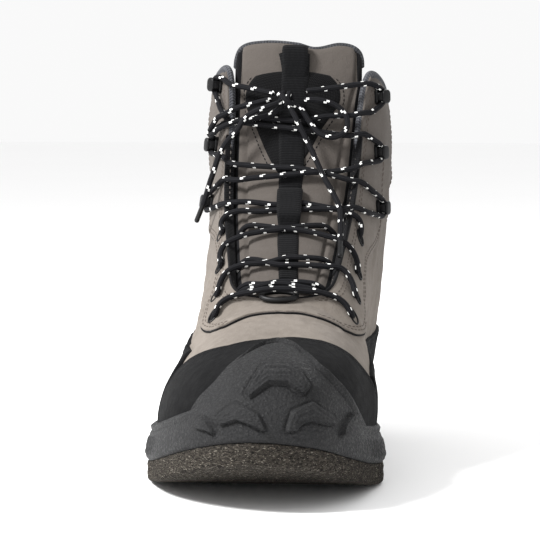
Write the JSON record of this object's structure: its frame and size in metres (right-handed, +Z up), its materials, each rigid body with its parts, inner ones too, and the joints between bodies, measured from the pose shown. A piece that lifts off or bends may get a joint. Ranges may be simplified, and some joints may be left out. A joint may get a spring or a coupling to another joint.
{
  "type": "wading boot",
  "caption": "Ankle-high lace-up wading boot for the right foot, hollow, with a rubber toe cap and foxing, felt soles, padded tongue and speed hooks.",
  "frame": {"origin": "on the floor under the heel, on the boot's long axis", "axes": "-Y towards the toe, +X towards the inner side of the foot, +Z up"},
  "size_m": [0.1205, 0.312, 0.2238],
  "materials": {
    "taupe_nubuck": "matt nubuck",
    "charcoal_nubuck": "matt nubuck",
    "rubber": "matt, finely grained",
    "felt": "dense needled felt",
    "dark_cloth": "woven lining cloth on foam",
    "black_webbing": "ribbed webbing",
    "black_plastic": "satin",
    "lace": "round braid"
  },
  "bodies": {
    "root": {"upper": "taupe_nubuck", "eyestay": "taupe_nubuck", "tongue": "taupe_nubuck", "toe_rand": "charcoal_nubuck", "heel_counter": "charcoal_nubuck", "rubber_cupsole": "rubber", "felt_forefoot": "felt", "felt_heel": "felt", "insole": "dark_cloth", "tongue_patch": "black_webbing", "tongue_webbing": "black_webbing", "lace_ring": "black_plastic", "hook_outer_1": "black_plastic", "hook_outer_2": "black_plastic", "hook_outer_3": "black_plastic", "hook_inner_1": "black_plastic", "hook_inner_2": "black_plastic", "hook_inner_3": "black_plastic", "lace_bar": "lace", "lace_cross_1": "lace", "lace_cross_2": "lace", "lace_cross_3": "lace", "lace_cross_4": "lace", "lace_cross_5": "lace", "lace_cross_6": "lace", "lace_top_outer": "lace", "lace_top_inner": "lace", "lace_knot": "lace", "lace_loop_outer": "lace", "lace_loop_inner": "lace", "lace_end_outer": "lace", "lace_end_inner": "lace"}
  },
  "joints": []
}
